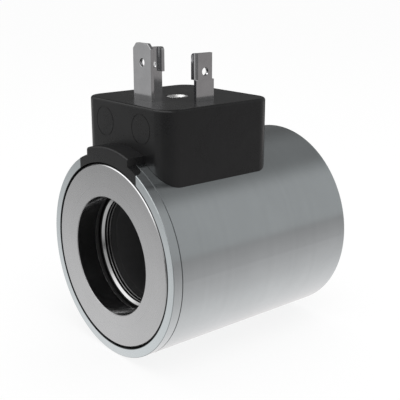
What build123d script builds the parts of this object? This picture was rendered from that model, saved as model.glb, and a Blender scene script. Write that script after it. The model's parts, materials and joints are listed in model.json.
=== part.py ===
"""Solenoid valve coil for a hydraulic cartridge valve.

A steel casing tube with a pole ring at each end encloses a bobbin, its copper winding and the
filling around it. A moulded connector base stands on the casing and carries two power contacts,
an earth contact and a threaded insert for the plug's screw.

Millimetres. Y runs along the bore from front to rear, Z points up to the contacts, and the origin
is on the bore axis at half the casing's length.
"""
import os
from math import sqrt

from build123d import *

os.makedirs("parts", exist_ok=True)

# Casing and its front rim
casing_wall = 2.0
casing_length = 51.0
casing_end_chamfer = 0.4
rim_length = 2.2
joint_chamfer = 0.12

# Notch in the rim, seen from above
notch_width = 20.8
notch_side_land = 0.2

# Pole rings
pole_ring_gap = 0.3
pole_ring_thickness = 5.0
pole_ring_bore_d = 26.2
pole_ring_chamfer = 0.3
pole_bore_chamfer = 0.15

# Seal and spacer rings between a pole ring and the bobbin
seal_recess = 0.3
seal_width = 2.65
seal_thickness = 1.3
seal_chamfer = 0.3
spacer_thickness = 0.9
spacer_flare = 0.75
spacer_flare_depth = 0.7

# Lip of a spacer ring: it reaches into the bobbin and narrows in two steps
lip_wall = 0.3
lip_step = 0.2
lip_step_1_depth = 1.3
lip_step_2_depth = 1.95
lip_length = 2.1

# Bobbin with a lead-in at each end of the bore
bore_d = 23.1
bobbin_tube_wall = 1.5
flange_thickness = 1.6
lead_in = 0.45
lead_in_length = 1.2

# Winding, tape and filling
winding_build = 4.9
flange_rise = 1.0
filling_wall = 1.5
tape_thickness = 0.3
tape_from_lead = 0.9

# Connector base
box_size = 29.5
plug_from_front = 19.0
box_corner_r = 4.0
box_rise = 10.4
box_top_fillet = 0.6
top_wall = 6.0
neck_wall = 1.0
neck_corner_r = 2.0
chamber_clearance = 1.0
pad_width = 15.0
pad_rise = 1.5
pad_edge_r = 0.5
boss_wall = 1.9
boss_floor = 1.0
mark_d = 6.4
mark_spacing = 13.0
mark_below_top = 4.7
mark_line = 0.15
mark_depth = 0.1

# Contacts: both power contacts stand at contact_pitch / 2 from the centre, and so does the earth
contact_pitch = 18.0
blade_thickness = 0.8
power_width = 4.8
power_step = 0.5
power_step_rise = 4.5
power_rise = 10.0
power_flange_straight = 0.85
power_flange_land = 0.05
power_bend_r = 0.1
power_hole_rise = 6.15
earth_width = 6.3
earth_rise = 11.9
earth_chamfer = 1.15
earth_hole_below_top = 4.0
blade_hole_d = 1.7
leg_width = 3.0
leg_depth = 8.9

# Threaded insert, M3
insert_thread_d = 2.5
insert_head_d = 4.9
insert_head_thickness = 1.0
insert_body_d = 4.2
insert_length = 7.5
insert_floor = 1.0
insert_groove = 0.3
insert_countersink = 0.4

# Earth strap
strap_width = 4.0
strap_thickness = 0.5
strap_overlap = 2.6
strap_joggle = 1.8

# Winding leads
lead_d = 0.6
lead_from_strap = 2.0
lead_from_wall = 1.4
lead_bend_r = 1.2
lead_tail = 4.3
lead_rise = 2.1
sleeve_wall = 0.3
sleeve_length = 3.0
solder_r = 1.1
solder_length = 2.3

# Fits: radial gap of nested rings, gap under the base, around the neck and at moulded-in metal
nest_gap = 0.05
saddle_gap = 0.05
neck_gap = 0.1
mould_gap = 0.02
wire_gap = 0.1

# Radii, from the bore outwards; they make a casing 45 across
bore_r = bore_d / 2
tube_r = bore_r + bobbin_tube_wall
winding_r = tube_r + nest_gap + winding_build
tape_r = winding_r + nest_gap + tape_thickness
flange_r = winding_r + flange_rise
casing_r_in = flange_r + filling_wall
casing_r = casing_r_in + casing_wall
saddle_r = casing_r + saddle_gap
fill_r = casing_r_in - nest_gap
pole_ring_r = casing_r_in - pole_ring_gap
seal_r_in = pole_ring_bore_d / 2 + seal_recess
seal_r = seal_r_in + seal_width
step_2_r = bore_r + lead_in
step_1_r = step_2_r + lip_step
spacer_r_in = step_1_r + lip_step
lip_r = spacer_r_in + lip_wall
lip_seat_r = lip_r + nest_gap

# Places along the bore, from the front face inwards
front_y = -casing_length / 2
rear_y = casing_length / 2
joint_y = front_y + rim_length
seal_y = front_y + pole_ring_thickness
spacer_y = seal_y + seal_thickness
bobbin_y = spacer_y + spacer_thickness
flange_y = bobbin_y + flange_thickness
winding_y = flange_y + nest_gap
lip_y = spacer_y + lip_length
lip_seat_y = lip_y + nest_gap
bore_y = lip_seat_y + lead_in_length

# Places in the connector
box_top_z = casing_r + box_rise
box_y = front_y + plug_from_front
box_front_y = box_y - box_size / 2
chamber_size = contact_pitch + blade_thickness + 2 * chamber_clearance
chamber_z = box_top_z - top_wall
neck_size = chamber_size + 2 * neck_wall
window_size = neck_size + 2 * neck_gap
window_front_y = box_y - window_size / 2
contact_reach = contact_pitch / 2
power_face_x = contact_reach + blade_thickness / 2
inner_face_x = contact_reach - blade_thickness / 2
earth_y = box_y - contact_reach
earth_face_y = earth_y - blade_thickness / 2
leg_z = box_top_z - leg_depth
root_z = chamber_z + nest_gap
lead_x = strap_width / 2 + lead_from_strap
lead_y = box_y - chamber_size / 2 + lead_from_wall
beyond = 2 * casing_r


def ring_section(r_in, r_out, y_a, y_b):
    """Half section of a plain ring about the bore, in the XY plane."""
    with BuildSketch() as section:
        with Locations(((r_in + r_out) / 2, (y_a + y_b) / 2)):
            Rectangle(r_out - r_in, abs(y_b - y_a))
    return section.sketch


def turned_section(points):
    """Half section of a turned piece through (radius, y) corners, in the XY plane."""
    with BuildSketch() as section:
        with BuildLine():
            Polyline(*points, close=True)
        make_face()
    return section.sketch


def notch_plan(gap):
    """Plan of the rim's notch, drawn in by a gap, open past the front face."""
    width = notch_width - 2 * gap
    back_y = joint_y - gap
    with BuildSketch() as plan:
        with Locations((0, (front_y + back_y) / 2)):
            Rectangle(width, back_y - front_y)
        fillet(plan.vertices().group_by(Axis.Y)[-1], back_y - front_y - notch_side_land)
    return plan.sketch


# Casing tube with the window that the connector's neck reaches through
with BuildPart() as casing_tube:
    revolve(ring_section(casing_r_in, casing_r, joint_y, rear_y), axis=Axis.Y)
    outer_edges = casing_tube.edges().filter_by(GeomType.CIRCLE).group_by(SortBy.RADIUS)[-1]
    chamfer(outer_edges.sort_by(Axis.Y)[-1], casing_end_chamfer)
    chamfer(outer_edges.sort_by(Axis.Y)[0], joint_chamfer)
    with BuildSketch():
        with Locations((0, box_y)):
            RectangleRounded(window_size, window_size, neck_corner_r)
    extrude(amount=beyond, mode=Mode.SUBTRACT)
casing_tube.part.label = "casing_tube"

# Front rim, a ring in line with the casing, notched at the top for the moulding
with BuildPart() as front_rim:
    revolve(ring_section(casing_r_in, casing_r, front_y, joint_y), axis=Axis.Y)
    outer_edges = front_rim.edges().filter_by(GeomType.CIRCLE).group_by(SortBy.RADIUS)[-1]
    chamfer(outer_edges, joint_chamfer)
    extrude(notch_plan(0), amount=beyond, mode=Mode.SUBTRACT)
front_rim.part.label = "front_rim"

# Pole rings, one in each end of the casing
with BuildPart() as front_pole_ring:
    revolve(ring_section(pole_ring_bore_d / 2, pole_ring_r, front_y, seal_y), axis=Axis.Y)
    face_edges = front_pole_ring.edges().group_by(Axis.Y)[0].sort_by(SortBy.RADIUS)
    chamfer(face_edges[-1], pole_ring_chamfer)
    chamfer(face_edges[0], pole_bore_chamfer)
front_pole_ring.part.label = "front_pole_ring"

with BuildPart() as rear_pole_ring:
    mirror(front_pole_ring.part, about=Plane.XZ)
rear_pole_ring.part.label = "rear_pole_ring"

# Seal rings behind the pole rings, with eased edges towards the bore
with BuildPart() as front_seal_ring:
    revolve(ring_section(seal_r_in, seal_r, seal_y, spacer_y), axis=Axis.Y)
    inner_edges = front_seal_ring.edges().filter_by(GeomType.CIRCLE).group_by(SortBy.RADIUS)[0]
    chamfer(inner_edges, seal_chamfer)
front_seal_ring.part.label = "front_seal_ring"

with BuildPart() as rear_seal_ring:
    mirror(front_seal_ring.part, about=Plane.XZ)
rear_seal_ring.part.label = "rear_seal_ring"

# Spacer rings with a flared mouth and a stepped lip
step_1_y = spacer_y + lip_step_1_depth
step_2_y = spacer_y + lip_step_2_depth
with BuildPart() as front_spacer_ring:
    revolve(
        turned_section(
            [
                (spacer_r_in + spacer_flare, spacer_y),
                (seal_r, spacer_y),
                (seal_r, bobbin_y),
                (lip_r, bobbin_y),
                (lip_r, lip_y),
                (step_2_r, lip_y),
                (step_2_r, step_2_y),
                (step_1_r, step_2_y),
                (step_1_r, step_1_y),
                (spacer_r_in, step_1_y),
                (spacer_r_in, spacer_y + spacer_flare_depth),
            ]
        ),
        axis=Axis.Y,
    )
front_spacer_ring.part.label = "front_spacer_ring"

with BuildPart() as rear_spacer_ring:
    mirror(front_spacer_ring.part, about=Plane.XZ)
rear_spacer_ring.part.label = "rear_spacer_ring"

# Bobbin: half a section from the front flange to mid-length, turned and mirrored
with BuildPart() as bobbin:
    revolve(
        turned_section(
            [
                (lip_seat_r, bobbin_y),
                (flange_r, bobbin_y),
                (flange_r, flange_y),
                (tube_r, flange_y),
                (tube_r, 0),
                (bore_r, 0),
                (bore_r, bore_y),
                (step_2_r, lip_seat_y),
                (lip_seat_r, lip_seat_y),
            ]
        ),
        axis=Axis.Y,
    )
    mirror(about=Plane.XZ)
bobbin.part.label = "bobbin"

# Copper winding between the flanges
with BuildPart() as winding:
    revolve(ring_section(tube_r + nest_gap, winding_r, winding_y, -winding_y), axis=Axis.Y)
winding.part.label = "winding"

# Tape around the winding, short of the flanges so that the leads come out beside it
with BuildPart() as winding_tape:
    tape_y = lead_y + tape_from_lead
    revolve(ring_section(winding_r + nest_gap, tape_r, tape_y, -tape_y), axis=Axis.Y)
winding_tape.part.label = "winding_tape"

# Filling between the winding and the casing, with a pocket under the connector
with BuildPart() as filling:
    revolve(
        turned_section(
            [
                (seal_r + nest_gap, seal_y),
                (fill_r, seal_y),
                (fill_r, 0),
                (tape_r + nest_gap, 0),
                (tape_r + nest_gap, flange_y),
                (flange_r + nest_gap, flange_y),
                (flange_r + nest_gap, bobbin_y),
                (seal_r + nest_gap, bobbin_y),
            ]
        ),
        axis=Axis.Y,
    )
    mirror(about=Plane.XZ)
    with BuildSketch():
        with Locations((0, box_y)):
            RectangleRounded(window_size, window_size, neck_corner_r)
    extrude(amount=beyond, mode=Mode.SUBTRACT)
filling.part.label = "filling"

# Threaded insert, flush with the top of the connector base
with BuildPart() as screw_insert:
    with BuildSketch(Plane.XY.offset(box_top_z - insert_length)):
        with Locations((0, box_y)):
            Circle(insert_body_d / 2 - mould_gap)
    extrude(amount=insert_length)
    with BuildSketch(Plane.XY.offset(box_top_z - insert_head_thickness)):
        with Locations((0, box_y)):
            Circle(insert_head_d / 2 - mould_gap)
    extrude(amount=insert_head_thickness)
    for share in (1 / 3, 2 / 3):
        groove_z = box_top_z - insert_head_thickness - share * (insert_length - insert_head_thickness)
        with BuildSketch(Plane.XY.offset(groove_z - insert_groove)):
            with Locations((0, box_y)):
                Circle(insert_head_d / 2)
                Circle(insert_body_d / 2 - mould_gap - insert_groove, mode=Mode.SUBTRACT)
        extrude(amount=2 * insert_groove, mode=Mode.SUBTRACT)
    with BuildSketch(Plane.XY.offset(box_top_z)):
        with Locations((0, box_y)):
            Circle(insert_thread_d / 2)
    extrude(amount=insert_floor - insert_length, mode=Mode.SUBTRACT)
    top_edges = screw_insert.edges().filter_by(GeomType.CIRCLE).group_by(Axis.Z)[-1]
    chamfer(top_edges.sort_by(SortBy.RADIUS)[0], insert_countersink)
screw_insert.part.label = "screw_insert"

# Lug that fills the rim's notch, with a core that joins it to the pad above
with BuildPart() as rim_lug:
    extrude(notch_plan(nest_gap), amount=beyond)
    with BuildSketch(Plane.XZ):
        with Locations((0, casing_r)):
            Rectangle(pad_width, casing_r)
        Circle(casing_r + pad_rise / 2, mode=Mode.INTERSECT)
        Circle(casing_r)
        Circle(casing_r_in + nest_gap, mode=Mode.SUBTRACT)
    extrude(amount=beyond, both=True, mode=Mode.INTERSECT)

# Connector base: box on the casing, pad towards the front, lug in the rim, neck in the window
with BuildPart() as connector_base:
    with BuildSketch():
        with Locations((0, box_y)):
            RectangleRounded(box_size, box_size, box_corner_r)
    extrude(amount=box_top_z)
    fillet(connector_base.faces().sort_by(Axis.Z)[-1].edges(), box_top_fillet)
    with BuildSketch(Plane.XZ.offset(-front_y)):
        Circle(casing_r + pad_rise)
        with Locations((0, beyond / 2)):
            Rectangle(pad_width, beyond, mode=Mode.INTERSECT)
    extrude(amount=front_y - box_front_y - box_corner_r)
    front_arcs = connector_base.edges().filter_by(GeomType.CIRCLE).group_by(Axis.Y)[0]
    fillet(front_arcs.sort_by(Axis.Z)[-1], pad_edge_r)
    with BuildSketch(Plane.XZ):
        Circle(saddle_r)
    extrude(amount=beyond, both=True, mode=Mode.SUBTRACT)
    with BuildSketch(Plane.XY.offset(casing_r_in / 2)):
        with Locations((0, box_y)):
            RectangleRounded(neck_size, neck_size, neck_corner_r)
    extrude(amount=chamber_z - casing_r_in / 2)
    add(rim_lug.part)
    with BuildSketch(Plane.XZ):
        Circle(casing_r_in + nest_gap)
    extrude(amount=beyond, both=True, mode=Mode.SUBTRACT)

    # Chamber under the top wall, open towards the winding, with a boss for the insert
    with BuildSketch():
        with Locations((0, box_y)):
            RectangleRounded(chamber_size, chamber_size, neck_corner_r - neck_wall)
    extrude(amount=chamber_z, mode=Mode.SUBTRACT)
    boss_z = box_top_z - insert_length - boss_floor
    with BuildSketch(Plane.XY.offset(boss_z)):
        with Locations((0, box_y)):
            Circle(insert_body_d / 2 + boss_wall)
    extrude(amount=chamber_z - boss_z)

    # Seat of the insert
    with BuildSketch(Plane.XY.offset(box_top_z)):
        with Locations((0, box_y)):
            Circle(insert_head_d / 2)
    extrude(amount=-insert_head_thickness, mode=Mode.SUBTRACT)
    with BuildSketch(Plane.XY.offset(box_top_z)):
        with Locations((0, box_y)):
            Circle(insert_body_d / 2)
    extrude(amount=-insert_length, mode=Mode.SUBTRACT)

    # Slots of the contacts
    with BuildSketch(Plane.XY.offset(chamber_z)):
        with Locations((-contact_reach, box_y), (contact_reach, box_y)):
            Rectangle(blade_thickness + 2 * mould_gap, power_width + 2 * mould_gap)
        with Locations((0, earth_y)):
            Rectangle(earth_width + 2 * mould_gap, blade_thickness + 2 * mould_gap)
    extrude(amount=beyond, mode=Mode.SUBTRACT)

    # Relief for the earth strap in the neck's front wall
    with BuildSketch():
        with Locations((0, box_y - neck_size / 2)):
            Rectangle(strap_width + 2 * neck_gap, 2 * neck_wall + 2 * neck_gap)
    extrude(amount=chamber_z, mode=Mode.SUBTRACT)

    # Round moulding marks on the front face
    mark_z = box_top_z - mark_below_top
    with BuildSketch(Plane.XZ.offset(-box_front_y)):
        with Locations((-mark_spacing / 2, mark_z), (mark_spacing / 2, mark_z)):
            Circle(mark_d / 2)
            Circle(mark_d / 2 - mark_line, mode=Mode.SUBTRACT)
    extrude(amount=-mark_depth, mode=Mode.SUBTRACT)
connector_base.part.label = "connector_base"

# Power contact on the right: a blade stepped in along one side, with a flange bent in along the other
step_z = box_top_z + power_step_rise
power_top_z = box_top_z + power_rise
with BuildPart() as power_contact_right:
    with BuildSketch(Plane.YZ.offset(power_face_x)):
        with Locations((box_y, root_z)):
            Rectangle(power_width, step_z - root_z, align=(Align.CENTER, Align.MIN))
        with Locations((box_y, leg_z)):
            Rectangle(leg_width, root_z - leg_z, align=(Align.CENTER, Align.MIN))
    extrude(amount=-blade_thickness)
    flange_end_x = inner_face_x - power_bend_r - power_flange_straight
    flange_side_y = box_y - power_width / 2
    plain_side_y = box_y + power_width / 2 - power_step
    with BuildSketch(Plane.XY.offset(step_z)) as upper_plan:
        with BuildLine():
            Polyline(
                (power_face_x, plain_side_y),
                (power_face_x, flange_side_y),
                (flange_end_x, flange_side_y),
                (flange_end_x, flange_side_y + blade_thickness),
                (inner_face_x, flange_side_y + blade_thickness),
                (inner_face_x, plain_side_y),
                close=True,
            )
        make_face()
        bend_outside = (power_face_x, flange_side_y, step_z)
        bend_inside = (inner_face_x, flange_side_y + blade_thickness, step_z)
        fillet(upper_plan.vertices().sort_by_distance(bend_outside)[0], power_bend_r + blade_thickness)
        fillet(upper_plan.vertices().sort_by_distance(bend_inside)[0], power_bend_r)
    extrude(amount=power_rise - power_step_rise)
    top_edges = power_contact_right.edges().filter_by(Axis.Y).group_by(Axis.Z)[-1]
    fillet(top_edges.sort_by(Axis.X)[0], power_flange_straight - power_flange_land)
    with BuildSketch(Plane.YZ.offset(power_face_x)):
        with Locations((box_y, box_top_z + power_hole_rise)):
            Circle(blade_hole_d / 2)
    extrude(amount=-blade_thickness, mode=Mode.SUBTRACT)
power_contact_right.part.label = "power_contact_right"

# The left power contact is the same piece turned half round
with BuildPart() as power_contact_left:
    add(power_contact_right.part.rotate(Axis((0, box_y, 0), (0, 0, 1)), 180))
power_contact_left.part.label = "power_contact_left"

# Earth contact, a flat blade across the front
with BuildPart() as earth_contact:
    with BuildSketch(Plane.XZ.offset(-earth_face_y)) as earth_face:
        with Locations((0, root_z)):
            Rectangle(earth_width, box_top_z + earth_rise - root_z, align=(Align.CENTER, Align.MIN))
        chamfer(earth_face.vertices().group_by(Axis.Y)[-1], earth_chamfer)
        with Locations((0, leg_z)):
            Rectangle(leg_width, root_z - leg_z, align=(Align.CENTER, Align.MIN))
        with Locations((0, box_top_z + earth_rise - earth_hole_below_top)):
            Circle(blade_hole_d / 2, mode=Mode.SUBTRACT)
    extrude(amount=-blade_thickness)
earth_contact.part.label = "earth_contact"

# Earth strap from the contact's leg to the edge of the casing's window
strap_top_z = leg_z + strap_overlap
strap_low_z = sqrt(casing_r_in**2 - (strap_width / 2) ** 2)
with BuildPart() as earth_strap:
    with BuildSketch(Plane.YZ):
        with BuildLine():
            Polyline(
                (earth_face_y, strap_top_z),
                (earth_face_y - strap_thickness, strap_top_z),
                (earth_face_y - strap_thickness, leg_z),
                (window_front_y, leg_z - strap_joggle),
                (window_front_y, strap_low_z),
                (window_front_y + strap_thickness, strap_low_z),
                (window_front_y + strap_thickness, leg_z - strap_joggle),
                (earth_face_y, leg_z),
                close=True,
            )
        make_face()
    extrude(amount=strap_width / 2, both=True)
earth_strap.part.label = "earth_strap"

# Winding leads, each from the winding to the inner face of its contact's leg
lead_low_z = sqrt(winding_r**2 - lead_x**2) + wire_gap
lead_high_z = leg_z + lead_rise / 2
lead_end_x = inner_face_x - lead_d / 2 - wire_gap / 2
lead_end_y = box_y + leg_width / 2
lead_bend_z = lead_high_z - lead_rise
with BuildPart() as finish_lead:
    with BuildLine() as lead_route:
        FilletPolyline(
            (lead_x, lead_y, lead_low_z),
            (lead_x, lead_y, lead_bend_z),
            (lead_end_x, lead_end_y - lead_tail, lead_high_z),
            (lead_end_x, lead_end_y, lead_high_z),
            radius=lead_bend_r,
        )
    with BuildSketch(Plane(origin=lead_route.line @ 0, z_dir=lead_route.line % 0)):
        Circle(lead_d / 2)
    sweep()
finish_lead.part.label = "finish_lead"

with BuildPart() as start_lead:
    mirror(finish_lead.part, about=Plane.YZ)
start_lead.part.label = "start_lead"

# Insulating sleeves over the leads where they leave the winding
sleeve_z = flange_r + wire_gap
with BuildPart() as finish_sleeve:
    with BuildSketch(Plane.XY.offset(sleeve_z)):
        with Locations((lead_x, lead_y)):
            Circle(lead_d / 2 + nest_gap + sleeve_wall)
            Circle(lead_d / 2 + nest_gap, mode=Mode.SUBTRACT)
    extrude(amount=sleeve_length)
finish_sleeve.part.label = "finish_sleeve"

with BuildPart() as start_sleeve:
    mirror(finish_sleeve.part, about=Plane.YZ)
start_sleeve.part.label = "start_sleeve"

# Solder that joins a lead to its contact's leg
with BuildPart() as finish_solder:
    with BuildSketch(Plane.XZ.offset(-(lead_end_y - (leg_width - solder_length) / 2))):
        with Locations((inner_face_x, lead_high_z)):
            Circle(solder_r)
            Rectangle(2 * solder_r, 2 * solder_r, align=(Align.MIN, Align.CENTER), mode=Mode.SUBTRACT)
        with Locations((lead_end_x, lead_high_z)):
            Circle(lead_d / 2 + mould_gap, mode=Mode.SUBTRACT)
    extrude(amount=solder_length)
finish_solder.part.label = "finish_solder"

with BuildPart() as start_solder:
    mirror(finish_solder.part, about=Plane.YZ)
start_solder.part.label = "start_solder"

pieces = [
    casing_tube,
    front_rim,
    front_pole_ring,
    rear_pole_ring,
    front_seal_ring,
    rear_seal_ring,
    front_spacer_ring,
    rear_spacer_ring,
    bobbin,
    winding,
    winding_tape,
    filling,
    connector_base,
    screw_insert,
    power_contact_left,
    power_contact_right,
    earth_contact,
    earth_strap,
    start_lead,
    finish_lead,
    start_sleeve,
    finish_sleeve,
    start_solder,
    finish_solder,
]
for piece in pieces:
    export_step(piece.part, f"parts/{piece.part.label}.step")
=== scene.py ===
"""Solenoid valve coil: finishes, rounded edges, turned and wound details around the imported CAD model.

Metres, in the frame of the CAD model: Y runs along the bore from front to rear, Z points up to the
contacts and the origin is on the bore axis at half the casing's length.
"""
import json
from math import pi, radians

import bmesh
import bpy
from bpy.props import FloatProperty, FloatVectorProperty, PointerProperty
from mathutils import Matrix, Vector

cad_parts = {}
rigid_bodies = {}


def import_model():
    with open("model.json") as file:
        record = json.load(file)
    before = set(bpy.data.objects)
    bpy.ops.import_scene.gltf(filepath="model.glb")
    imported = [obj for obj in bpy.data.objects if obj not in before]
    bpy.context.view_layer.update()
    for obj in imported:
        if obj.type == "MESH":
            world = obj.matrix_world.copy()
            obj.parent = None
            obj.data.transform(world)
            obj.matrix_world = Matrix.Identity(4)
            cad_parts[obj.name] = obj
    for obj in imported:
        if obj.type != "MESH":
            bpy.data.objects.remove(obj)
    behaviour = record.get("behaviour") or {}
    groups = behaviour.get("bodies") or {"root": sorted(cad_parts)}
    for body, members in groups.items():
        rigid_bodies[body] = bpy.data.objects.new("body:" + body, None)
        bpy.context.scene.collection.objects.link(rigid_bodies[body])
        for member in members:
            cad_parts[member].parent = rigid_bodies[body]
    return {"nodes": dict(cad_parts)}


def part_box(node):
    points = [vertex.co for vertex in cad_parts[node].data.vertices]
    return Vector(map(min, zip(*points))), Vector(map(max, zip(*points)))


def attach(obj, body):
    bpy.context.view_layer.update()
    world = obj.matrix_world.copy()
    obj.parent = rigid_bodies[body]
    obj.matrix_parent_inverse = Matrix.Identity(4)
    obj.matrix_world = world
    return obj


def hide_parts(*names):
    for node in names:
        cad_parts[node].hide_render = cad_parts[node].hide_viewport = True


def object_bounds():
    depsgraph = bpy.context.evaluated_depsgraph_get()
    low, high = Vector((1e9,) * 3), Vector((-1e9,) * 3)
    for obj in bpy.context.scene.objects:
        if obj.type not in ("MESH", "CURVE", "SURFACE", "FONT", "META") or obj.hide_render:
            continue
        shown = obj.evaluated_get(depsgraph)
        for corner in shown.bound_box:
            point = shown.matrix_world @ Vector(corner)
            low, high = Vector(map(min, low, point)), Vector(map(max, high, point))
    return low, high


bl_info = {
    "name": "Solenoid valve coil",
    "version": (1, 0, 0),
    "blender": (4, 5, 0),
    "location": "View3D > Sidebar > Coil",
    "description": "Builds the finishes and fine details of a solenoid valve coil",
    "category": "Object",
}

for leftover in list(bpy.data.objects):
    bpy.data.objects.remove(leftover)
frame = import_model()
cad_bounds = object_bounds()

MM = 0.001
ORIGIN = Vector((0.0, 0.0, 0.0))
ACROSS = Vector((1.0, 0.0, 0.0))
ALONG = Vector((0.0, 1.0, 0.0))
UP = Vector((0.0, 0.0, 1.0))

# Points closer than these are merged, in new shapes and in shapes of loose triangles
MERGE = 1e-7
LOOSE_MERGE = 1e-6

# Divisions of round shapes, and angles between faces that count as flat, smooth or sharp
ROUND_STEPS = 96
WIRE_SIDES = 8
INSERT_STEPS = 64
THREAD_STEPS = 32
EDGE_SEGMENTS = 2
FLAT_UP_TO = radians(0.5)
SMOOTH_UP_TO = radians(40)
SHARP_FROM = radians(35)

# Half widths of the thread's tooth at its root and crest, as shares of the pitch, and how deep the
# root stands in the wall
THREAD_ROOT = 0.42
THREAD_CREST = 0.08
THREAD_SUNK = 1e-6

# Heights of the insert's retaining grooves, as shares of the body below the head
GROOVE_HEIGHTS = (1 / 3, 2 / 3)

# Pattern scales on X, Y and Z: rolling lines of the metals, and fibres in the plastic
CONTACT_LINES = (2600.0, 2600.0, 160.0)
INSERT_LINES = (300.0, 300.0, 2600.0)
FIBRE_LINES = (2600.0, 2600.0, 420.0)

# How many times broader the slow waves are than the fine lines of a lathe
WAVE_TO_LINE = 9

# Zones round the bore: the blur of their limits, and the facing of chamfers between walls and faces
ZONE_BLUR = {"radius": 0.02 * MM, "distance": 0.02 * MM, "facing": 0.05}
CHAMFERS = (0.5, 0.9)

# Looks of the zones: a share of the surface's colour, and a roughness, which varies by UNEVEN
# Painted shade that dims the chamfers' reflections, with a rougher finish
ROUGH_CHAMFER_PAINTED_SHADE = (0.6, 0.45)
# Painted shade on the rim beside the gap round the pole ring
RIM_GAP_PAINTED_SHADE = (0.12, 0.6)
# Painted shade on the chamfers at the joint between casing tube and rim
CASING_JOINT_PAINTED_SHADE = (0.2, 0.6)
RIM_JOINT_PAINTED_SHADE = (0.38, 0.6)
HONED_WALL = (1.0, 0.14)
# Painted shade that dims the reflection on the chamfers at the pole ring's bore
BORE_CHAMFER_PAINTED_SHADE = (0.75, 0.5)
WORN_EDGE = (0.6, 0.5)
# Painted shade on the pole ring's outer edge beside the gap
RING_GAP_PAINTED_SHADE = (0.1, 0.6)
# Painted shade: dark lines between the steps of the spacer's mouth, and on the flare's outer part
SPACER_PAINTED_SHADE = (0.06, 0.6)
# Painted shade that dims the step past the last dark line
STEP_PAINTED_SHADE = (0.75, 0.3)
SHADED_LEAD_IN = (0.45, 0.6)
# Painted highlight on the front band of the seal rings
SEAL_LIP_PAINTED_HIGHLIGHT = (3.5, 0.45)
UNEVEN = (0.8, 1.2)

# Widths of the zones; the lip's depths are counted from the spacer's face, and PAST_EDGE takes a
# zone beyond the edge it ends at
JOINT_REACH = 0.25 * MM
WORN_WIDTH = 0.15 * MM
# Width of the painted highlight on the seal rings' front band
SEAL_LIP_HIGHLIGHT_WIDTH = 0.7 * MM
# Depths of the dark lines of painted shade in the spacer's mouth
LIP_PAINTED_SHADE_DEPTHS = ((0.66 * MM, 1.22 * MM), (1.44 * MM, 1.84 * MM))
LIP_END = 2.2 * MM
PAST_EDGE = MM

# White floor, and the share of its own glow that the camera sees
FLOOR_WHITE = (0.92, 0.92, 0.92, 1.0)
FLOOR_GLOW = 1.04
FLOOR_GLOW_SHARE = 0.78

# Floor as the metal mirrors it: a range of the place in metres, then the range of the share there
FLOOR = {
    "aside": ((0.0, 0.45), (0.0, 1.0)),
    "ahead": ((-0.6, 0.0), (1.0, 0.0)),
    "left": ((-0.1, 0.0), (1.0, 0.0)),
    "rear": ((0.08, 0.16), (0.0, 1.0)),
    "rear_left_dimmed": ((0.0, 1.0), (1.0, 0.1)),
    "right_dimmed": ((0.02, 0.08), (1.0, 0.35)),
    "past_front": ((-0.03, -0.022), (0.0, 1.0)),
}
FLOOR_ASIDE_LEVELS = (
    (0.0, 1.0),
    (0.036, 0.93),
    (0.056, 0.82),
    (0.08, 0.685),
    (0.129, 0.55),
    (0.222, 0.44),
    (0.4, 0.405),
    (0.533, 0.405),
    (0.71, 0.352),
)
FLOOR_AHEAD_LEVELS = ((0.05, 0.97), (0.19, 0.57), (0.22, 0.42), (0.25, 0.32), (0.32, 0.51), (0.58, 0.53))
FLOOR_TINT = (1.02, 0.985, 0.98)

# Room as the metal mirrors it: a range of the direction, then the range of the level there
DARK_SIDE = (-0.6, 0.0, 0.8)
ROOM = {
    "dark_side": ((0.2, 0.52), (0.405, 0.192)),
    "left": ((-0.6, -0.3), (0.6, 1.0)),
    "rear": ((0.5, 0.75), (1.0, 1.14)),
    "front": ((-0.25, 0.05), (1.0, 0.0)),
    "panel_ahead": ((-0.25, -0.1), (1.6, 0.0)),
    "panel_above": ((0.42, 0.6), (0.0, 1.0)),
    "soft_light": ((-0.6, 0.1), (0.55, 0.95)),
}
ROOM_FRONT_LEVEL = 0.7
WHITE = (1.0, 1.0, 1.0, 1.0)

SENSOR_WIDTH = 36.0
NEAREST_VIEW = 5 * MM


def length_property(name, description, default_mm, top_mm=100.0):
    """A length that a user can change, given here in millimetres."""
    return FloatProperty(
        name=name,
        description=description,
        default=default_mm * MM,
        min=0.0,
        max=top_mm * MM,
        subtype="DISTANCE",
        unit="LENGTH",
        precision=5,
    )


def place_property(name, description, default):
    """A place in the scene that a user can change."""
    return FloatVectorProperty(
        name=name, description=description, default=default, size=3, subtype="TRANSLATION", unit="LENGTH"
    )


def colour_property(name, description, default):
    """A surface colour that a user can change, in linear light."""
    return FloatVectorProperty(
        name=name, description=description, default=default, min=0.0, max=1.0, size=3, subtype="COLOR"
    )


def turn_property(name, description, degrees):
    """An angle that a user can change."""
    return FloatProperty(name=name, description=description, default=radians(degrees), unit="ROTATION")


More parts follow.
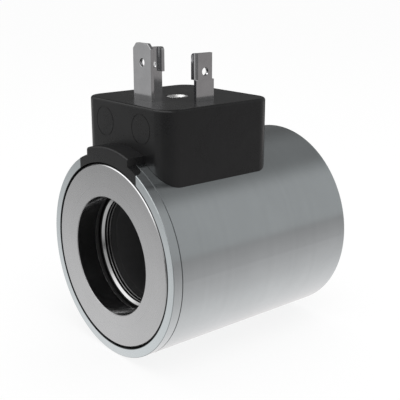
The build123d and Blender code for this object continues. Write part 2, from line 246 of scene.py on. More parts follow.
class CoilSizes(bpy.types.PropertyGroup):
    """Sizes of the details that the scene adds to the model."""

    moulded_edge: length_property("Moulded edge", "Round of the connector base's edges", 0.12)
    stamped_edge: length_property("Stamped edge", "Round of the contacts' edges", 0.07)
    pole_ring_bore: length_property("Pole ring bore", "Diameter of the pole rings' bore", 26.2)
    ring_gap: length_property("Ring gap", "Gap between the pole rings and the casing", 0.3)
    # Width of the painted shade along the gaps round the pole rings
    gap_shade_width: length_property("Gap shade", "Width of the painted shade along the gaps round the rings", 0.14)
    bobbin_bore: length_property("Bobbin bore", "Diameter of the bore through the bobbin", 23.1)
    # Outside this diameter the spacer's flare gets painted shade
    spacer_unshaded: length_property("Spacer unshaded", "Diameter up to which the spacer's flare has no painted shade", 25.9)
    winding_bore: length_property("Winding bore", "Diameter on which the winding starts", 26.2)
    wire_diameter: length_property("Wire diameter", "Enamelled wire of the winding", 0.6)
    insert_head: length_property("Insert head", "Height of the insert's head", 1.0)
    insert_shoulder: length_property(
        "Insert shoulder", "How far the head stands out beyond the body", 0.35
    )
    insert_groove: length_property(
        "Insert groove", "Depth of the retaining grooves, and half their width", 0.3
    )
    insert_floor: length_property("Insert floor", "Metal under the threaded hole", 1.0)
    insert_edge: length_property("Insert edge", "Chamfers of the insert", 0.12)
    countersink: length_property("Countersink", "Chamfer at the mouth of the insert's thread", 0.45)
    thread_core: length_property("Thread core", "Core diameter of the insert's thread", 2.5)
    thread_pitch: length_property("Thread pitch", "Pitch of the insert's thread", 0.5)
    thread_depth: length_property("Thread depth", "Radial depth of the insert's thread", 0.25)


class CoilColours(bpy.types.PropertyGroup):
    """Colours of the coil's surfaces."""

    casing: colour_property("Casing", "Turned steel of the casing and its rim", (0.582, 0.620, 0.634))
    pole_ring: colour_property("Pole ring", "Faced steel of the pole rings", (0.50, 0.50, 0.505))
    spacer: colour_property("Spacer", "Bright steel of the spacer rings", (0.38, 0.38, 0.38))
    contact: colour_property("Contact", "Tinned metal of the contacts", (0.55, 0.55, 0.56))
    insert: colour_property("Insert", "Plated metal of the threaded insert", (0.80, 0.80, 0.79))
    housing: colour_property("Housing", "Black plastic of the connector base", (0.012, 0.012, 0.0125))
    bobbin: colour_property("Bobbin", "Black plastic of the bobbin", (0.055, 0.055, 0.056))
    seal: colour_property("Seal", "Rubber of the seal rings", (0.013, 0.013, 0.013))
    copper: colour_property("Copper", "Enamelled winding wire", (0.62, 0.22, 0.08))
    tape: colour_property("Tape", "Film tape round the winding", (0.62, 0.42, 0.07))
    filling: colour_property("Filling", "Resin between winding and casing", (0.03, 0.028, 0.026))
    sleeve: colour_property("Sleeve", "Braided sleeves of the leads", (0.66, 0.62, 0.50))
    solder: colour_property("Solder", "Solder of the leads", (0.60, 0.60, 0.62))


class StageSettings(bpy.types.PropertyGroup):
    """Floor, lamp and camera."""

    floor_size: length_property("Floor size", "Length of the floor's sides", 6000.0, 20000.0)
    lamp_size: length_property("Lamp size", "Length of the key lamp's sides", 400.0, 2000.0)
    lamp_power: FloatProperty(name="Lamp power", description="Key lamp", default=1.0, min=0.0, unit="POWER")
    lamp_place: place_property("Lamp place", "Where the key lamp hangs", (0.25, -0.12, 0.55))
    lamp_aim: place_property("Lamp aim", "What the key lamp points at", (0.0, 0.0, 0.01))
    camera_place: place_property("Camera place", "Where the camera stands", (0.13652, -0.1144, 0.0587))
    camera_pitch: turn_property("Camera pitch", "Tilt up from straight down", 74.11)
    camera_turn: turn_property("Camera turn", "Turn about the upright axis", 50.05)
    focal_length: FloatProperty(
        name="Focal length", description="Lens, in millimetres", default=71.62, min=10.0
    )


def node(tree, kind, inputs=None, **settings):
    """A shader node with its settings and its inputs' values or links."""
    made = tree.nodes.new(kind)
    for setting, value in settings.items():
        setattr(made, setting, value)
    for key, value in (inputs or {}).items():
        socket = made.inputs[key]
        if isinstance(value, bpy.types.NodeSocket):
            tree.links.new(value, socket)
        else:
            socket.default_value = value
    return made


def calculated(tree, operation, *values):
    """The result of a sum on values or links."""
    return node(tree, "ShaderNodeMath", dict(enumerate(values)), operation=operation).outputs[0]


def product(tree, first, second):
    """Two values multiplied."""
    return calculated(tree, "MULTIPLY", first, second)


def sum_of(tree, first, second, share=0.5):
    """One value plus a share of another."""
    return calculated(tree, "MULTIPLY_ADD", second, share, first)


def parts_of(tree, vector):
    """The X, Y and Z of a vector."""
    return node(tree, "ShaderNodeSeparateXYZ", {"Vector": vector}).outputs


def mapped(tree, value, start=(0.3, 0.7), end=(0.0, 1.0), curve="LINEAR"):
    """A value taken from one range to another, and held at its ends."""
    made = node(
        tree,
        "ShaderNodeMapRange",
        {"Value": value, "From Min": start[0], "From Max": start[1], "To Min": end[0], "To Max": end[1]},
        interpolation_type=curve,
    )
    return made.outputs["Result"]


def mixed_values(tree, share, first, second):
    """A value between two, by a share."""
    return node(tree, "ShaderNodeMix", {0: share, 2: first, 3: second}, data_type="FLOAT").outputs[0]


def mixed_colours(tree, share, first, second):
    """A colour between two, by a share."""
    return node(tree, "ShaderNodeMix", {0: share, 6: first, 7: second}, data_type="RGBA").outputs[2]


def mixed_shaders(tree, share, first, second):
    """A shader between two, by a share."""
    return node(tree, "ShaderNodeMixShader", {"Fac": share, 1: first, 2: second}).outputs["Shader"]


def grey_ramp(tree, share, stops):
    """A grey that follows the stops, given as (position, level)."""
    ramp = node(tree, "ShaderNodeValToRGB", {"Fac": share})
    elements = ramp.color_ramp.elements
    while len(elements) < len(stops):
        elements.new(0.5)
    for element, (position, level) in zip(elements, stops):
        element.position = position
        element.color = (level, level, level, 1.0)
    return ramp.outputs["Color"]


def noise(tree, place, scale, detail=2.0, roughness=0.5, distortion=0.0):
    """Noise between nought and one, with its mean near a half."""
    made = node(
        tree,
        "ShaderNodeTexNoise",
        {
            "Vector": place,
            "Scale": scale,
            "Detail": detail,
            "Roughness": roughness,
            "Distortion": distortion,
        },
    )
    return made.outputs["Fac"]


def stretched(tree, place, scale):
    """Coordinates scaled apart on each axis, which draws a pattern out."""
    return node(tree, "ShaderNodeMapping", {"Vector": place, "Scale": scale}).outputs["Vector"]


def round_the_bore(tree, place):
    """Coordinates by radius and length, the same all the way round the bore."""
    flat = node(tree, "ShaderNodeVectorMath", {0: place, 1: (1.0, 0.0, 1.0)}, operation="MULTIPLY")
    radius = node(tree, "ShaderNodeVectorMath", {0: flat.outputs["Vector"]}, operation="LENGTH")
    joined = node(
        tree,
        "ShaderNodeCombineXYZ",
        {"X": radius.outputs["Value"], "Y": parts_of(tree, place)["Y"], "Z": 0.0},
    )
    return joined.outputs["Vector"]


def toned(colour, factor):
    """A colour made darker or lighter, with its alpha, as sockets take it."""
    return (*(min(1.0, part * factor) for part in colour), 1.0)


def shades_of(tree, share, colour, darkest, lightest):
    """A colour that varies between two of its tones, by a share."""
    return mixed_colours(tree, share, toned(colour, darkest), toned(colour, lightest))


def new_surface(name, **sockets):
    """A material with a Principled shader whose constant sockets are set, and its object coordinates."""
    surface = bpy.data.materials.new(name)
    surface.use_nodes = True
    tree = surface.node_tree
    tree.nodes.clear()
    shader = node(tree, "ShaderNodeBsdfPrincipled", {k.replace("_", " "): v for k, v in sockets.items()})
    node(tree, "ShaderNodeOutputMaterial", {"Surface": shader.outputs["BSDF"]})
    place = node(tree, "ShaderNodeTexCoord").outputs["Object"]
    return surface, tree, shader, place


def lay_on(tree, shader, shade, finish, height, depth):
    """Links the colour and the roughness to the shader, and a bump that is depth metres high."""
    bump = node(tree, "ShaderNodeBump", {"Height": height, "Strength": 1.0, "Distance": depth})
    tree.links.new(shade, shader.inputs["Base Color"])
    tree.links.new(finish, shader.inputs["Roughness"])
    tree.links.new(bump.outputs["Normal"], shader.inputs["Normal"])


def zone(look, **limits):
    """A zone: its look, and its limits by radius, distance or facing."""
    return look, limits


def inside(tree, measures, limits):
    """A share that is one where every named measure lies within its limits."""
    share = None
    for measure, (low, high) in limits.items():
        value, blur = measures[measure], ZONE_BLUR[measure]
        within = product(
            tree,
            mapped(tree, value, (low - blur, low + blur)),
            mapped(tree, value, (high - blur, high + blur), (1.0, 0.0)),
        )
        share = within if share is None else product(tree, share, within)
    return share


def zoned(tree, ringed, colour, patchy, shade, finish, zones):
    """A shade and a roughness with the zones laid over them.

    A zone's limits are for the radius, for the distance along the bore from the middle, and for
    facing, which is nought on walls along the bore and one on faces across it.
    """
    parts = parts_of(tree, ringed)
    normal = parts_of(tree, node(tree, "ShaderNodeNewGeometry").outputs["True Normal"])
    measures = {
        "radius": parts["X"],
        "distance": calculated(tree, "ABSOLUTE", parts["Y"]),
        "facing": calculated(tree, "ABSOLUTE", normal["Y"]),
    }
    for (tone, rough), limits in zones:
        share = inside(tree, measures, limits)
        shade = mixed_colours(tree, share, shade, toned(colour, tone))
        uneven = mapped(tree, patchy, end=(rough * UNEVEN[0], rough * UNEVEN[1]))
        finish = mixed_values(tree, share, finish, uneven)
    return shade, finish


def turned_steel(name, colour, roughness, lines, zones):
    """Steel with the fine lines that a lathe leaves round the bore, a faint bloom, and zones of painted
    shade, dulled edges and honed walls.
    """
    surface, tree, shader, place = new_surface(name, Metallic=1.0)
    ringed = round_the_bore(tree, place)
    fine = noise(tree, ringed, lines)
    broad = noise(tree, ringed, lines / WAVE_TO_LINE, detail=1.0)
    bloom = noise(tree, place, 75.0, detail=4.0, roughness=0.6)
    patchy = noise(tree, place, 900.0, detail=3.0)
    tone = mapped(tree, sum_of(tree, bloom, broad, share=0.35), (0.45, 0.95))
    shade = shades_of(tree, tone, colour, darkest=0.96, lightest=1.04)
    finish = mapped(tree, sum_of(tree, fine, patchy), (0.5, 1.0), roughness)
    shade, finish = zoned(tree, ringed, colour, patchy, shade, finish, zones)
    lay_on(tree, shader, shade, finish, sum_of(tree, fine, broad, share=0.6), 0.002 * MM)
    return surface


def rolled_metal(name, colour, roughness, along):
    """Plated metal with faint rolling lines along one axis and a soft mottle."""
    surface, tree, shader, place = new_surface(name, Metallic=1.0)
    lines = noise(tree, stretched(tree, place, along), 1.0, detail=3.0)
    mottle = noise(tree, place, 420.0, detail=3.0, roughness=0.55)
    specks = noise(tree, place, 3200.0)
    shade = shades_of(tree, mapped(tree, mottle), colour, darkest=0.94, lightest=1.05)
    finish = mapped(tree, sum_of(tree, lines, mottle), (0.5, 1.0), roughness)
    lay_on(tree, shader, shade, finish, sum_of(tree, lines, specks, share=0.4), 0.003 * MM)
    return surface


def moulded_plastic(name, colour, roughness, zones=()):
    """Glass-filled plastic: a fine grain, short fibre streaks and slow changes of gloss."""
    surface, tree, shader, place = new_surface(name, Metallic=0.0, IOR=1.5, Specular_IOR_Level=0.27)
    skin = noise(tree, place, 4200.0, detail=3.0, roughness=0.6)
    fibres = noise(tree, stretched(tree, place, FIBRE_LINES), 1.0)
    flow = noise(tree, place, 110.0, detail=3.0, distortion=0.8)
    tone = mapped(tree, sum_of(tree, flow, fibres, share=0.6), (0.5, 1.1))
    shade = shades_of(tree, tone, colour, darkest=0.88, lightest=1.14)
    finish = mapped(tree, sum_of(tree, flow, skin, share=0.6), (0.5, 1.1), roughness)
    if zones:
        shade, finish = zoned(tree, round_the_bore(tree, place), colour, skin, shade, finish, zones)
    lay_on(tree, shader, shade, finish, sum_of(tree, skin, fibres, share=0.3), 0.003 * MM)
    return surface


def rubber(name, colour, zones):
    """Matt rubber with a dusty bloom."""
    surface, tree, shader, place = new_surface(name, Metallic=0.0, IOR=1.5, Specular_IOR_Level=0.2)
    skin = noise(tree, place, 2600.0, detail=4.0, roughness=0.65)
    dust = noise(tree, place, 260.0, detail=3.0)
    shade = shades_of(tree, mapped(tree, dust, (0.4, 0.8)), colour, darkest=0.9, lightest=1.7)
    finish = mapped(tree, skin, end=(0.5, 0.72))
    shade, finish = zoned(tree, round_the_bore(tree, place), colour, skin, shade, finish, zones)
    lay_on(tree, shader, shade, finish, skin, 0.012 * MM)
    return surface


def enamelled_wire(name, colour):
    """Copper under a clear amber enamel that thins out in places."""
    surface, tree, shader, place = new_surface(
        name, Metallic=1.0, Coat_Weight=0.7, Coat_Roughness=0.12, Coat_IOR=1.5
    )
    enamel = noise(tree, round_the_bore(tree, place), 900.0)
    clouds = noise(tree, place, 160.0, detail=3.0)
    tone = mapped(tree, sum_of(tree, enamel, clouds, share=0.7), (0.55, 1.15))
    shade = shades_of(tree, tone, colour, darkest=0.72, lightest=1.2)
    lay_on(tree, shader, shade, mapped(tree, clouds, end=(0.22, 0.38)), enamel, 0.004 * MM)
    return surface


def film_tape(name, colour, width=12 * MM):
    """Glossy film tape wound with overlaps, whose edges show as faint steps."""
    surface, tree, shader, place = new_surface(name, Metallic=0.0, IOR=1.58)
    saw = calculated(tree, "FRACT", product(tree, parts_of(tree, place)["Y"], 1.0 / width))
    wrinkles = noise(tree, round_the_bore(tree, place), 700.0, detail=3.0)
    bubbles = noise(tree, place, 700.0)
    shade = shades_of(tree, saw, colour, darkest=0.8, lightest=1.0)
    finish = mapped(tree, bubbles, end=(0.18, 0.34))
    lay_on(tree, shader, shade, finish, sum_of(tree, saw, wrinkles), 0.05 * MM)
    return surface


def cast_resin(name, colour):
    """Cast resin with mineral specks and a meniscus-smooth skin."""
    surface, tree, shader, place = new_surface(name, Metallic=0.0, IOR=1.55)
    cells = node(tree, "ShaderNodeTexVoronoi", {"Vector": place, "Scale": 2400.0}, feature="F1")
    specks = cells.outputs["Distance"]
    clouds = noise(tree, place, 180.0, detail=4.0)
    tone = mapped(tree, specks, (0.05, 0.3), (1.0, 0.0))
    shade = shades_of(tree, tone, colour, darkest=0.9, lightest=2.2)
    finish = mapped(tree, clouds, end=(0.22, 0.42))
    lay_on(tree, shader, shade, finish, sum_of(tree, clouds, specks, share=0.2), 0.03 * MM)
    return surface


def braided_sleeve(name, colour, tilt=radians(38), strands=265.39278):
    """Braided glass sleeve: two crossing sets of strands."""
    surface, tree, shader, place = new_surface(name, Metallic=0.0, Sheen_Weight=0.2, IOR=1.45)
    sets = []
    for turn in (tilt, -tilt):
        turned = node(tree, "ShaderNodeMapping", {"Vector": place, "Rotation": (turn, 0.0, turn)})
        wave = node(
            tree,
            "ShaderNodeTexWave",
            {"Vector": turned.outputs["Vector"], "Scale": strands, "Distortion": 0.6},
            bands_direction="Z",
        )
        sets.append(wave.outputs["Fac"])
    woven = calculated(tree, "MAXIMUM", *sets)
    fluff = noise(tree, place, 1500.0, detail=3.0)
    shade = shades_of(tree, mapped(tree, woven, (0.1, 0.9)), colour, darkest=0.62, lightest=1.08)
    finish = mapped(tree, fluff, end=(0.55, 0.8))
    lay_on(tree, shader, shade, finish, sum_of(tree, woven, fluff, share=0.3), 0.06 * MM)
    return surface


def set_solder(name, colour):
    """Solder that set with a slightly frosted skin."""
    surface, tree, shader, place = new_surface(name, Metallic=1.0)
    frost = noise(tree, place, 2100.0, detail=4.0, roughness=0.6)
    pools = noise(tree, place, 480.0)
    shade = shades_of(tree, mapped(tree, frost), colour, darkest=0.85, lightest=1.08)
    finish = mapped(tree, sum_of(tree, frost, pools), (0.5, 1.0), (0.2, 0.45))
    lay_on(tree, shader, shade, finish, sum_of(tree, pools, frost, share=0.3), 0.03 * MM)
    return surface


def dress(surface, *names):
    """Gives CAD nodes a finish through their objects' own slots."""
    for name in names:
        shown = frame["nodes"][name]
        if not shown.material_slots:
            shown.data.materials.append(surface)
        for slot in shown.material_slots:
            slot.link = "OBJECT"
            slot.material = surface


def new_object(name, data):
    """An object in the scene, at the origin."""
    made = bpy.data.objects.new(name, data)
    bpy.context.scene.collection.objects.link(made)
    return made


def new_piece(name, made, surface, replaced):
    """A finished piece on the coil's one body, made from a bmesh and standing for a CAD node.

    Its faces are smooth and its real corners stay sharp.
    """
    mesh = bpy.data.meshes.new(name)
    made.to_mesh(mesh)
    made.free()
    mesh.polygons.foreach_set("use_smooth", [True] * len(mesh.polygons))
    mesh.set_sharp_from_angle(angle=SMOOTH_UP_TO)
    mesh.materials.clear()
    mesh.materials.append(surface)
    piece = new_object(name, mesh)
    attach(piece, "root")
    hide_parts(replaced)
    return piece


def even_normals(piece):
    """Shading that keeps broad flat faces flat beside their rounded edges."""
    weighting = piece.modifiers.new("Even normals", "WEIGHTED_NORMAL")
    weighting.mode = "FACE_AREA"
    weighting.keep_sharp = True


def merge_and_face_out(made, distance=MERGE):
    """Merges points that lie together, and turns the faces outwards."""
    bmesh.ops.remove_doubles(made, verts=made.verts[:], dist=distance)
    bmesh.ops.recalc_face_normals(made, faces=made.faces[:])


def softened_copy(node_name, edge):
    """A bmesh of a CAD node, merged and with its sharp edges rounded."""
    made = bmesh.new()
    made.from_mesh(frame["nodes"][node_name].data)
    bmesh.ops.remove_doubles(made, verts=made.verts[:], dist=LOOSE_MERGE)
    bmesh.ops.dissolve_limit(
        made,
        angle_limit=FLAT_UP_TO,
        verts=made.verts[:],
        edges=made.edges[:],
        use_dissolve_boundaries=False,
    )
    sharp = [e for e in made.edges if len(e.link_faces) == 2 and e.calc_face_angle() > SHARP_FROM]
    bmesh.ops.bevel(
        made,
        geom=sharp,
        offset=edge,
        offset_type="OFFSET",
        segments=EDGE_SEGMENTS,
        profile=0.5,
        affect="EDGES",
        clamp_overlap=True,
        material=-1,
    )
    merge_and_face_out(made)
    return made


def spin_round(made, centre, axis, steps):
    """Turns all that a bmesh holds once round an axis and closes the shape."""
    bmesh.ops.spin(
        made,
        geom=made.verts[:] + made.edges[:],
        cent=centre,
        axis=axis,
        angle=2 * pi,
        steps=steps,
        use_merge=True,
    )
    merge_and_face_out(made)


def turned_piece(centre, axis, corners, steps):
    """A bmesh turned about an axis through a centre, from corners as (radius, height) in metres."""
    made = bmesh.new()
    ring = [made.verts.new(centre + ACROSS * radius + axis * height) for radius, height in corners]
    for first, second in zip(ring, ring[1:] + ring[:1]):
        made.edges.new((first, second))
    spin_round(made, centre, axis, steps)
    return made


class COIL_OT_steel(bpy.types.Operator):
    """Turned finish of the casing, its rim, the pole rings and the spacer rings"""

    bl_idname = "solenoid_coil.steel"
    bl_label = "Casing and rings"

    def execute(self, context):
        colours = context.scene.coil_colours
        sizes = context.scene.coil_sizes
        ring_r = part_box("front_pole_ring")[1].x
        bore_r = sizes.pole_ring_bore / 2
        rim_bore_r = ring_r + sizes.ring_gap
        seam = sizes.gap_shade_width
        joint = -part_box("front_rim")[1].y
        # Painted shade on the chamfers, on the rim beside the gap round the pole ring, and at the joint
        casing_zones = (
            zone(ROUGH_CHAMFER_PAINTED_SHADE, facing=CHAMFERS),
            zone(RIM_GAP_PAINTED_SHADE, radius=(rim_bore_r - PAST_EDGE, rim_bore_r + seam)),
            zone(CASING_JOINT_PAINTED_SHADE, distance=(joint - JOINT_REACH, joint), facing=CHAMFERS),
            zone(RIM_JOINT_PAINTED_SHADE, distance=(joint, joint + JOINT_REACH), facing=CHAMFERS),
        )
        casing = turned_steel(
            "casing_turned_steel",
            colours.casing,
            roughness=(0.16, 0.24),
            lines=5200.0,
            zones=casing_zones,
        )
        dress(casing, "casing_tube", "front_rim")

        seat = -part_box("front_pole_ring")[1].y
        bore_wall = (0.0, bore_r + seam / 2)
        # Painted shade on the bore's chamfers and on the outer edge beside the gap
        ring_zones = (
            zone(HONED_WALL, radius=bore_wall),
            zone(WORN_EDGE, radius=bore_wall, distance=(seat - PAST_EDGE, seat + WORN_WIDTH)),
            zone(BORE_CHAMFER_PAINTED_SHADE, radius=(0.0, bore_r + PAST_EDGE), facing=CHAMFERS),
            zone(RING_GAP_PAINTED_SHADE, radius=(ring_r - seam, ring_r + PAST_EDGE)),
        )
        faced = turned_steel(
            "pole_ring_faced_steel",
            colours.pole_ring,
            roughness=(0.2, 0.3),
            lines=3600.0,
            zones=ring_zones,
        )
        dress(faced, "front_pole_ring", "rear_pole_ring")

        face = -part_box("front_spacer_ring")[0].y
        # Painted shade in the spacer's mouth and on its flare
        spacer_zones = [
            zone(SPACER_PAINTED_SHADE, distance=(face - end, face - start)) for start, end in LIP_PAINTED_SHADE_DEPTHS
        ]
        spacer_zones += [
            zone(STEP_PAINTED_SHADE, distance=(face - LIP_END, face - LIP_PAINTED_SHADE_DEPTHS[-1][1])),
            zone(SPACER_PAINTED_SHADE, radius=(sizes.spacer_unshaded / 2, ring_r)),
        ]
        bright = turned_steel(
            "spacer_bright_steel",
            colours.spacer,
            roughness=(0.16, 0.24),
            lines=6000.0,
            zones=spacer_zones,
        )
        dress(bright, "front_spacer_ring", "rear_spacer_ring")
        return {"FINISHED"}


class COIL_OT_bobbin(bpy.types.Operator):
    """Plastic of the bobbin and rubber of the seal rings"""

    bl_idname = "solenoid_coil.bobbin"
    bl_label = "Bobbin and seals"

    def execute(self, context):
        colours = context.scene.coil_colours
        bore_r = context.scene.coil_sizes.bobbin_bore / 2
        lead_in = zone(SHADED_LEAD_IN, radius=(bore_r + ZONE_BLUR["radius"], bore_r + PAST_EDGE))
        plastic = moulded_plastic(
            "bobbin_plastic", colours.bobbin, roughness=(0.5, 0.62), zones=(lead_in,)
        )
        dress(plastic, "bobbin")

        seat = -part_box("front_seal_ring")[0].y
        # Painted highlight on the seal's front band
        lip = zone(SEAL_LIP_PAINTED_HIGHLIGHT, distance=(seat - SEAL_LIP_HIGHLIGHT_WIDTH, seat + PAST_EDGE))
        dress(rubber("seal_rubber", colours.seal, (lip,)), "front_seal_ring", "rear_seal_ring")
        return {"FINISHED"}


class COIL_OT_winding(bpy.types.Operator):
    """Winding with its outer layer of turns, tape, filling, leads, sleeves and solder"""

    bl_idname = "solenoid_coil.winding"
    bl_label = "Winding and leads"

    def execute(self, context):
        sizes = context.scene.coil_sizes
        colours = context.scene.coil_colours
        copper = enamelled_wire("enamelled_copper", colours.copper)
        low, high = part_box("winding")
        wire_r = sizes.wire_diameter / 2
        outer_r = high.x - wire_r
        length = high.y - low.y
        turns = int(length / sizes.wire_diameter)
        pitch = length / turns

        wire = bmesh.new()
        first_turn = Matrix.Translation((outer_r, low.y + pitch / 2, 0.0))
        bmesh.ops.create_circle(wire, segments=WIRE_SIDES, radius=wire_r, matrix=first_turn)
        spin_round(wire, ORIGIN, ALONG, ROUND_STEPS)
        layer = new_piece("winding_outer_layer", wire, copper, "winding")
        row = layer.modifiers.new("Turns side by side", "ARRAY")
        row.count = turns
        row.use_relative_offset = False
        row.use_constant_offset = True
        row.constant_offset_displace = ALONG * pitch

        inner_r = sizes.winding_bore / 2
        core_r = outer_r - wire_r / 2
        ease = wire_r / 2
        core_corners = [
            (inner_r, low.y + ease),
            (inner_r + ease, low.y),
            (core_r - ease, low.y),
            (core_r, low.y + ease),
            (core_r, high.y - ease),
            (core_r - ease, high.y),
            (inner_r + ease, high.y),
            (inner_r, high.y - ease),
        ]
        core = turned_piece(ORIGIN, ALONG, core_corners, ROUND_STEPS)
        new_piece("winding_core", core, copper, "winding")

        dress(copper, "start_lead", "finish_lead")
        dress(film_tape("film_tape", colours.tape), "winding_tape")
        dress(cast_resin("cast_filling", colours.filling), "filling")
        dress(braided_sleeve("braided_sleeve", colours.sleeve), "start_sleeve", "finish_sleeve")
        dress(set_solder("set_solder", colours.solder), "start_solder", "finish_solder")
        return {"FINISHED"}


class COIL_OT_housing(bpy.types.Operator):
    """Moulded connector base with rounded edges"""

    bl_idname = "solenoid_coil.housing"
    bl_label = "Connector base"

    def execute(self, context):
        black = context.scene.coil_colours.housing
        plastic = moulded_plastic("housing_plastic", black, roughness=(0.24, 0.36))
        made = softened_copy("connector_base", context.scene.coil_sizes.moulded_edge)
        even_normals(new_piece("connector_housing", made, plastic, "connector_base"))
        return {"FINISHED"}


class COIL_OT_insert(bpy.types.Operator):
    """Threaded insert: turned body with head, retaining grooves and a cut thread"""

    bl_idname = "solenoid_coil.insert"
    bl_label = "Threaded insert"

    def execute(self, context):
        sizes = context.scene.coil_sizes
        metal = context.scene.coil_colours.insert
        plated = rolled_metal("insert_plating", metal, roughness=(0.38, 0.5), along=INSERT_LINES)
        low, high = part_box("screw_insert")
        foot = Vector(((low.x + high.x) / 2, (low.y + high.y) / 2, low.z))
        head_r = (high.x - low.x) / 2
        tall = high.z - low.z
        body_r = head_r - sizes.insert_shoulder
        groove = sizes.insert_groove
        minor_r = sizes.thread_core / 2
        major_r = minor_r + sizes.thread_depth
        neck = tall - sizes.insert_head
        edge = sizes.insert_edge
        corners = [(0.0, 0.0), (body_r - edge, 0.0), (body_r, edge)]
        for share in GROOVE_HEIGHTS:
            middle = neck * share
            corners += [
                (body_r, middle - groove),
                (body_r - groove, middle - groove),
                (body_r - groove, middle + groove),
                (body_r, middle + groove),
            ]
        corners += [
            (body_r, neck),
            (head_r - edge, neck),
            (head_r, neck + edge),
            (head_r, tall - edge),
            (head_r - edge, tall),
            (major_r + sizes.countersink, tall),
            (major_r, tall - sizes.countersink),
            (major_r, sizes.insert_floor),
            (0.0, sizes.insert_floor),
        ]
        body = turned_piece(foot, UP, corners, INSERT_STEPS)
        new_piece("insert_body", body, plated, "screw_insert")

        thread = bmesh.new()
        pitch = sizes.thread_pitch
        start = foot + UP * (sizes.insert_floor + pitch / 2)
        root = pitch * THREAD_ROOT
        crest = pitch * THREAD_CREST
        wall_r = major_r + THREAD_SUNK
        profile = ((wall_r, -root), (minor_r, -crest), (minor_r, crest), (wall_r, root))
        tooth = [thread.verts.new(start + ACROSS * radius + UP * height) for radius, height in profile]
        face = thread.faces.new(tooth)
        turns = int((tall - sizes.insert_floor - sizes.countersink) / pitch) - 1
        bmesh.ops.spin(
            thread,
            geom=[face] + face.edges[:] + face.verts[:],
            cent=foot,
            axis=UP,
            dvec=UP * (pitch / THREAD_STEPS),
            angle=2 * pi * turns,
            steps=THREAD_STEPS * turns,
            use_merge=False,
        )
        merge_and_face_out(thread, LOOSE_MERGE)
        new_piece("insert_thread", thread, plated, "screw_insert")
        return {"FINISHED"}


class COIL_OT_contacts(bpy.types.Operator):
    """Power contacts and earth contact with rounded edges, and the earth strap"""

    bl_idname = "solenoid_coil.contacts"
    bl_label = "Contacts and strap"

    def execute(self, context):
        edge = context.scene.coil_sizes.stamped_edge
        metal = context.scene.coil_colours.contact
        tinned = rolled_metal(
            "contact_tinned_metal", metal, roughness=(0.1, 0.16), along=CONTACT_LINES
        )
        for node_name, name in (
            ("power_contact_left", "power_blade_left"),
            ("power_contact_right", "power_blade_right"),
            ("earth_contact", "earth_blade"),
            ("earth_strap", "earth_link"),
        ):
            made = softened_copy(node_name, edge)
            even_normals(new_piece(name, made, tinned, node_name))
        return {"FINISHED"}


def pale_floor():
    """White to the camera with a soft shadow; metal mirrors it as white near the coil, fading to grey."""
    surface = bpy.data.materials.new("pale_floor")
    surface.use_nodes = True
    tree = surface.node_tree
    tree.nodes.clear()
    rays = node(tree, "ShaderNodeLightPath").outputs
    place = parts_of(tree, node(tree, "ShaderNodeTexCoord").outputs["Object"])
    matt = node(tree, "ShaderNodeBsdfDiffuse", {"Color": FLOOR_WHITE}).outputs["BSDF"]
    glow = node(tree, "ShaderNodeEmission", {"Color": WHITE, "Strength": FLOOR_GLOW}).outputs["Emission"]
    seen = mixed_shaders(tree, FLOOR_GLOW_SHARE, matt, glow)

    aside = mapped(tree, calculated(tree, "ABSOLUTE", place["X"]), *FLOOR["aside"])
    rear_left = product(
        tree, mapped(tree, place["X"], *FLOOR["left"]), mapped(tree, place["Y"], *FLOOR["rear"])
    )
    dimmed = mapped(tree, rear_left, *FLOOR["rear_left_dimmed"])
    sideways = product(tree, grey_ramp(tree, aside, FLOOR_ASIDE_LEVELS), dimmed)
    warmed = node(tree, "ShaderNodeVectorMath", {0: FLOOR_TINT, "Scale": sideways}, operation="SCALE")
    ahead = product(
        tree,
        grey_ramp(tree, mapped(tree, place["Y"], *FLOOR["ahead"]), FLOOR_AHEAD_LEVELS),
        mapped(tree, place["X"], *FLOOR["right_dimmed"]),
    )
    past_front = mapped(tree, place["Y"], *FLOOR["past_front"])
    level = mixed_colours(tree, past_front, ahead, warmed.outputs["Vector"])
    mirrored = node(tree, "ShaderNodeEmission", {"Color": level, "Strength": 1.0}).outputs["Emission"]

    shiny = calculated(tree, "MAXIMUM", rays["Is Glossy Ray"], rays["Is Transmission Ray"])
    unseen = mixed_shaders(tree, shiny, matt, mirrored)
    whole = mixed_shaders(tree, rays["Is Camera Ray"], unseen, seen)
    node(tree, "ShaderNodeOutputMaterial", {"Surface": whole})
    return surface


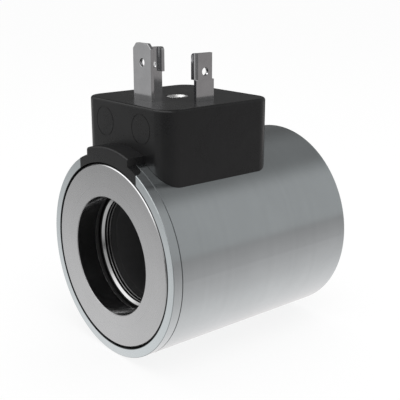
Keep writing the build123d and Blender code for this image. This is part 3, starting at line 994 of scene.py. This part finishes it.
def studio_world():
    """White behind the coil; metal mirrors a grey room, darker overhead and on the left, lighter ahead,
    with a bright panel high in front, and everything else gets soft light that is lighter at the rear.
    """
    world = bpy.data.worlds.new("studio")
    world.use_nodes = True
    tree = world.node_tree
    tree.nodes.clear()
    rays = node(tree, "ShaderNodeLightPath").outputs
    direction = node(tree, "ShaderNodeTexCoord").outputs["Generated"]
    sides = parts_of(tree, direction)
    to_dark = node(tree, "ShaderNodeVectorMath", {0: direction, 1: DARK_SIDE}, operation="DOT_PRODUCT")
    level = mapped(tree, to_dark.outputs["Value"], *ROOM["dark_side"], curve="SMOOTHSTEP")
    level = product(tree, level, mapped(tree, sides["X"], *ROOM["left"]))
    level = product(tree, level, mapped(tree, sides["Y"], *ROOM["rear"]))
    level = mixed_values(tree, mapped(tree, sides["Y"], *ROOM["front"]), level, ROOM_FRONT_LEVEL)
    panel = product(
        tree,
        mapped(tree, sides["Y"], *ROOM["panel_ahead"]),
        mapped(tree, sides["Z"], *ROOM["panel_above"]),
    )
    room, soft, backdrop = (
        node(tree, "ShaderNodeBackground", {"Color": light, "Strength": 1.0}).outputs["Background"]
        for light in (
            calculated(tree, "ADD", level, panel),
            mapped(tree, sides["Y"], *ROOM["soft_light"]),
            WHITE,
        )
    )
    lit = mixed_shaders(tree, rays["Is Glossy Ray"], soft, room)
    whole = mixed_shaders(tree, rays["Is Camera Ray"], lit, backdrop)
    node(tree, "ShaderNodeOutputWorld", {"Surface": whole})
    return world


class COIL_OT_stage(bpy.types.Operator):
    """Pale floor, soft studio light and the camera"""

    bl_idname = "solenoid_coil.stage"
    bl_label = "Stage"

    def execute(self, context):
        settings = context.scene.coil_stage
        ground = Matrix.Translation((0.0, 0.0, cad_bounds[0].z))
        made = bmesh.new()
        bmesh.ops.create_grid(
            made, x_segments=2, y_segments=2, size=settings.floor_size / 2, matrix=ground
        )
        mesh = bpy.data.meshes.new("floor")
        made.to_mesh(mesh)
        made.free()
        mesh.materials.append(pale_floor())
        floor = new_object("floor", mesh)
        context.scene.world = studio_world()

        light = bpy.data.lights.new("key_lamp", "AREA")
        light.shape = "SQUARE"
        light.size = settings.lamp_size
        light.energy = settings.lamp_power
        lamp = new_object("key_lamp", light)
        lamp.location = settings.lamp_place
        aim = Vector(settings.lamp_aim) - Vector(settings.lamp_place)
        lamp.rotation_euler = aim.to_track_quat("-Z", "Y").to_euler()
        lamp.visible_glossy = False

        lens = bpy.data.cameras.new("camera")
        lens.lens = settings.focal_length
        lens.sensor_width = SENSOR_WIDTH
        lens.clip_start = NEAREST_VIEW
        camera = new_object("camera", lens)
        camera.location = settings.camera_place
        camera.rotation_euler = (settings.camera_pitch, 0.0, settings.camera_turn)
        context.scene.camera = camera
        context.scene.view_settings.view_transform = "Standard"
        return {"FINISHED"}


STEPS = (
    "solenoid_coil.stage",
    "solenoid_coil.steel",
    "solenoid_coil.bobbin",
    "solenoid_coil.winding",
    "solenoid_coil.housing",
    "solenoid_coil.insert",
    "solenoid_coil.contacts",
)


class COIL_PT_panel(bpy.types.Panel):
    """Lists the coil's sizes, colours and steps"""

    bl_idname = "COIL_PT_panel"
    bl_label = "Solenoid valve coil"
    bl_space_type = "VIEW_3D"
    bl_region_type = "UI"
    bl_category = "Coil"

    def draw(self, context):
        for group in (context.scene.coil_sizes, context.scene.coil_colours, context.scene.coil_stage):
            box = self.layout.box()
            for name in group.bl_rna.properties.keys():
                if name not in ("rna_type", "name"):
                    box.prop(group, name)
        for step in STEPS:
            self.layout.operator(step)


CLASSES = (
    CoilSizes,
    CoilColours,
    StageSettings,
    COIL_OT_stage,
    COIL_OT_steel,
    COIL_OT_bobbin,
    COIL_OT_winding,
    COIL_OT_housing,
    COIL_OT_insert,
    COIL_OT_contacts,
    COIL_PT_panel,
)


def register():
    for made in CLASSES:
        bpy.utils.register_class(made)
    bpy.types.Scene.coil_sizes = PointerProperty(type=CoilSizes)
    bpy.types.Scene.coil_colours = PointerProperty(type=CoilColours)
    bpy.types.Scene.coil_stage = PointerProperty(type=StageSettings)


def unregister():
    del bpy.types.Scene.coil_stage
    del bpy.types.Scene.coil_colours
    del bpy.types.Scene.coil_sizes
    for made in reversed(CLASSES):
        bpy.utils.unregister_class(made)


def main():
    """Builds the coil's finishes and details."""
    register()
    for step in STEPS:
        group, name = step.split(".")
        getattr(getattr(bpy.ops, group), name)()
    bpy.context.view_layer.update()


if __name__ == "__main__":
    main()
